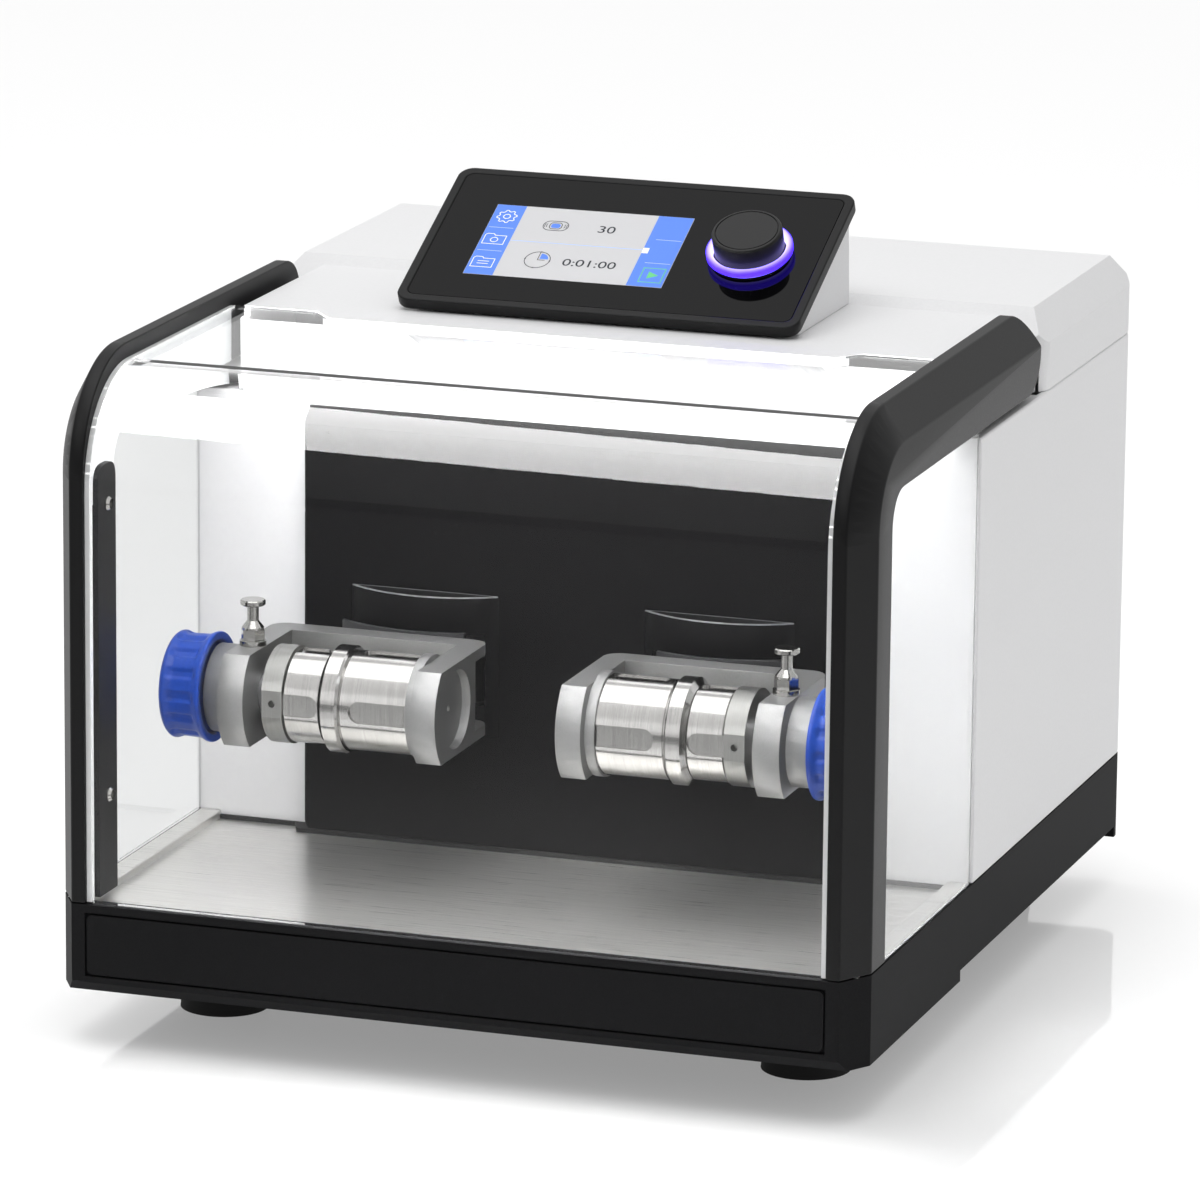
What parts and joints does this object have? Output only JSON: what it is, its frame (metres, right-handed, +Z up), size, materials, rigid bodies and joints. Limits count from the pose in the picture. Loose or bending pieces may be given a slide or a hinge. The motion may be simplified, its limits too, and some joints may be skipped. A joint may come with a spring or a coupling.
{
  "type": "mixer mill",
  "caption": "Bench mill with a clear front hood, clamped grinding jars on swing arms inside, and a sloped control panel with a push-and-turn knob on top.",
  "frame": {"origin": "on the table, under the middle of the footprint, rear fittings included", "axes": "+X to the machine's right as seen from its front, +Y towards its rear, +Z up"},
  "size_m": [0.374, 0.4326, 0.3527],
  "materials": {
    "white_shell": "satin",
    "black_base": "semi-gloss",
    "charcoal_plastic": "fine texture",
    "black_plate": "matte",
    "floor_steel": "brushed",
    "foot_rubber": "matte",
    "clear_window": "clear",
    "black_glass": "gloss",
    "display_face": "lit",
    "light_ring": "lit",
    "knob_black": "matte",
    "knob_blue": "semi-gloss",
    "blasted_aluminium": "blasted",
    "polished_steel": "turned",
    "bright_steel": "polished",
    "dark_shield": "satin",
    "cast_frame": "cast",
    "shaft_steel": "ground",
    "motor_paint": "satin",
    "belt_rubber": "matte",
    "supply_case": "matte",
    "connector_black": "satin"
  },
  "bodies": {
    "chassis": {"base_tray": "black_base", "base_front_panel": "black_base", "rubber_feet": "foot_rubber", "feet_screws": "shaft_steel", "chamber_floor": "floor_steel", "chamber_back_plate": "black_plate", "slot_shrouds": "black_plate", "front_wall": "white_shell", "housing_shell": "white_shell", "housing_lid": "white_shell", "rear_screws": "bright_steel", "panel_pedestal": "white_shell", "panel_bezel": "charcoal_plastic", "panel_glass": "black_glass", "display_screen": "display_face", "knob_light_ring": "light_ring", "encoder_body": "knob_black", "drive_frame": "cast_frame", "pivot_shafts": "shaft_steel", "motor_body": "motor_paint", "power_supply": "supply_case", "mains_inlet": "connector_black", "switch_frame": "connector_black", "vent_grille": "charcoal_plastic", "hinge_pins": "shaft_steel", "hinge_brackets": "cast_frame", "drive_belt": "belt_rubber"},
    "hood": {"hood_window": "clear_window", "left_side_window": "clear_window", "right_side_window": "clear_window", "left_hood_arm": "charcoal_plastic", "right_hood_arm": "charcoal_plastic", "hood_screws": "bright_steel"},
    "crank": {"eccentric_shaft": "shaft_steel"},
    "motor_rotor": {"motor_pulley": "shaft_steel"},
    "control_shaft": {"encoder_shaft": "shaft_steel"},
    "control_knob": {"control_knob": "knob_black"},
    "power_switch": {"power_switch_rocker": "connector_black"},
    "left_rocker": {"left_swing_arm": "blasted_aluminium", "left_slot_shield": "dark_shield", "left_jar_holder": "blasted_aluminium", "left_jar_body": "polished_steel", "left_jar_lid": "polished_steel", "left_plunger_sleeve": "bright_steel"},
    "left_rod": {"left_connecting_rod": "cast_frame"},
    "left_carriage": {"left_pressure_disk": "polished_steel"},
    "left_screw": {"left_clamp_spindle": "shaft_steel", "left_clamp_knob": "knob_blue"},
    "left_plunger": {"left_locking_plunger": "bright_steel"},
    "right_rocker": {"right_swing_arm": "blasted_aluminium", "right_slot_shield": "dark_shield", "right_jar_holder": "blasted_aluminium", "right_jar_body": "polished_steel", "right_jar_lid": "polished_steel", "right_plunger_sleeve": "bright_steel"},
    "right_rod": {"right_connecting_rod": "cast_frame"},
    "right_carriage": {"right_pressure_disk": "polished_steel"},
    "right_screw": {"right_clamp_spindle": "shaft_steel", "right_clamp_knob": "knob_blue"},
    "right_plunger": {"right_locking_plunger": "bright_steel"}
  },
  "joints": [
    {"name": "hood_hinge", "type": "hinge", "parent": "chassis", "child": "hood", "pos_m": [0, 0.03175, 0.291], "axis": [-1, 0, 0], "range_deg": [0, 65]},
    {"name": "left_rocker_swing", "type": "hinge", "parent": "chassis", "child": "left_rocker", "pos_m": [-0.07, -0.00625, 0.147], "axis": [0, 0, 1], "range_deg": [-2.5, 2.5]},
    {"name": "left_rod_turn", "type": "hinge", "parent": "left_rocker", "child": "left_rod", "pos_m": [-0.07, 0.04175, 0.13], "axis": [0, 0, 1], "range_deg": [-2.5, 2.5]},
    {"name": "left_clamp_slide", "type": "slide", "parent": "left_rocker", "child": "left_carriage", "axis": [-1, 0, 0], "range_m": [0, 0.003]},
    {"name": "left_knob_turn", "type": "hinge", "parent": "left_carriage", "child": "left_screw", "pos_m": [-0.15, -0.12925, 0.147], "axis": [-1, 0, 0], "range_deg": [0, 360]},
    {"name": "left_plunger_pull", "type": "slide", "parent": "left_rocker", "child": "left_plunger", "axis": [0, 0, 1], "range_m": [0, 0.005], "stiffness_N_per_m": 800, "springref_m": -0.005},
    {"name": "right_rocker_swing", "type": "hinge", "parent": "chassis", "child": "right_rocker", "pos_m": [0.07, -0.00625, 0.147], "axis": [0, 0, 1], "range_deg": [-2.5, 2.5]},
    {"name": "right_rod_turn", "type": "hinge", "parent": "right_rocker", "child": "right_rod", "pos_m": [0.07, 0.04175, 0.142], "axis": [0, 0, 1], "range_deg": [-2.5, 2.5]},
    {"name": "right_clamp_slide", "type": "slide", "parent": "right_rocker", "child": "right_carriage", "axis": [1, 0, 0], "range_m": [0, 0.003]},
    {"name": "right_knob_turn", "type": "hinge", "parent": "right_carriage", "child": "right_screw", "pos_m": [0.15, -0.12925, 0.147], "axis": [1, 0, 0], "range_deg": [0, 360]},
    {"name": "right_plunger_pull", "type": "slide", "parent": "right_rocker", "child": "right_plunger", "axis": [0, 0, 1], "range_m": [0, 0.005], "stiffness_N_per_m": 800, "springref_m": -0.005},
    {"name": "crank_spin", "type": "hinge", "parent": "chassis", "child": "crank", "pos_m": [0, 0.05775, 0.11], "axis": [0, 0, 1], "continuous": true},
    {"name": "motor_spin", "type": "hinge", "parent": "chassis", "child": "motor_rotor", "pos_m": [0, 0.14575, 0.08], "axis": [0, 0, 1], "continuous": true},
    {"name": "control_push", "type": "slide", "parent": "chassis", "child": "control_shaft", "axis": [0, 0.4384, -0.8988], "range_m": [0, 0.0008], "stiffness_N_per_m": 1500, "springref_m": -0.001},
    {"name": "control_turn", "type": "hinge", "parent": "control_shaft", "child": "control_knob", "pos_m": [0.0574, 0.02165, 0.3303], "axis": [0, -0.4384, 0.8988], "continuous": true},
    {"name": "power_switch_tilt", "type": "hinge", "parent": "chassis", "child": "power_switch", "pos_m": [-0.072, 0.20508, 0.11], "axis": [1, 0, 0], "range_deg": [0, 10]}
  ],
  "couplings": [
    {"joint": "left_rod_turn", "follows": "left_rocker_swing", "ratio": -1},
    {"joint": "left_knob_turn", "follows": "left_clamp_slide", "rad_per_m": 2094.4},
    {"joint": "right_rod_turn", "follows": "left_rocker_swing", "ratio": 1},
    {"joint": "right_knob_turn", "follows": "right_clamp_slide", "rad_per_m": 2094.4},
    {"joint": "right_rocker_swing", "follows": "left_rocker_swing", "ratio": -1},
    {"joint": "motor_spin", "follows": "crank_spin", "ratio": 2}
  ]
}
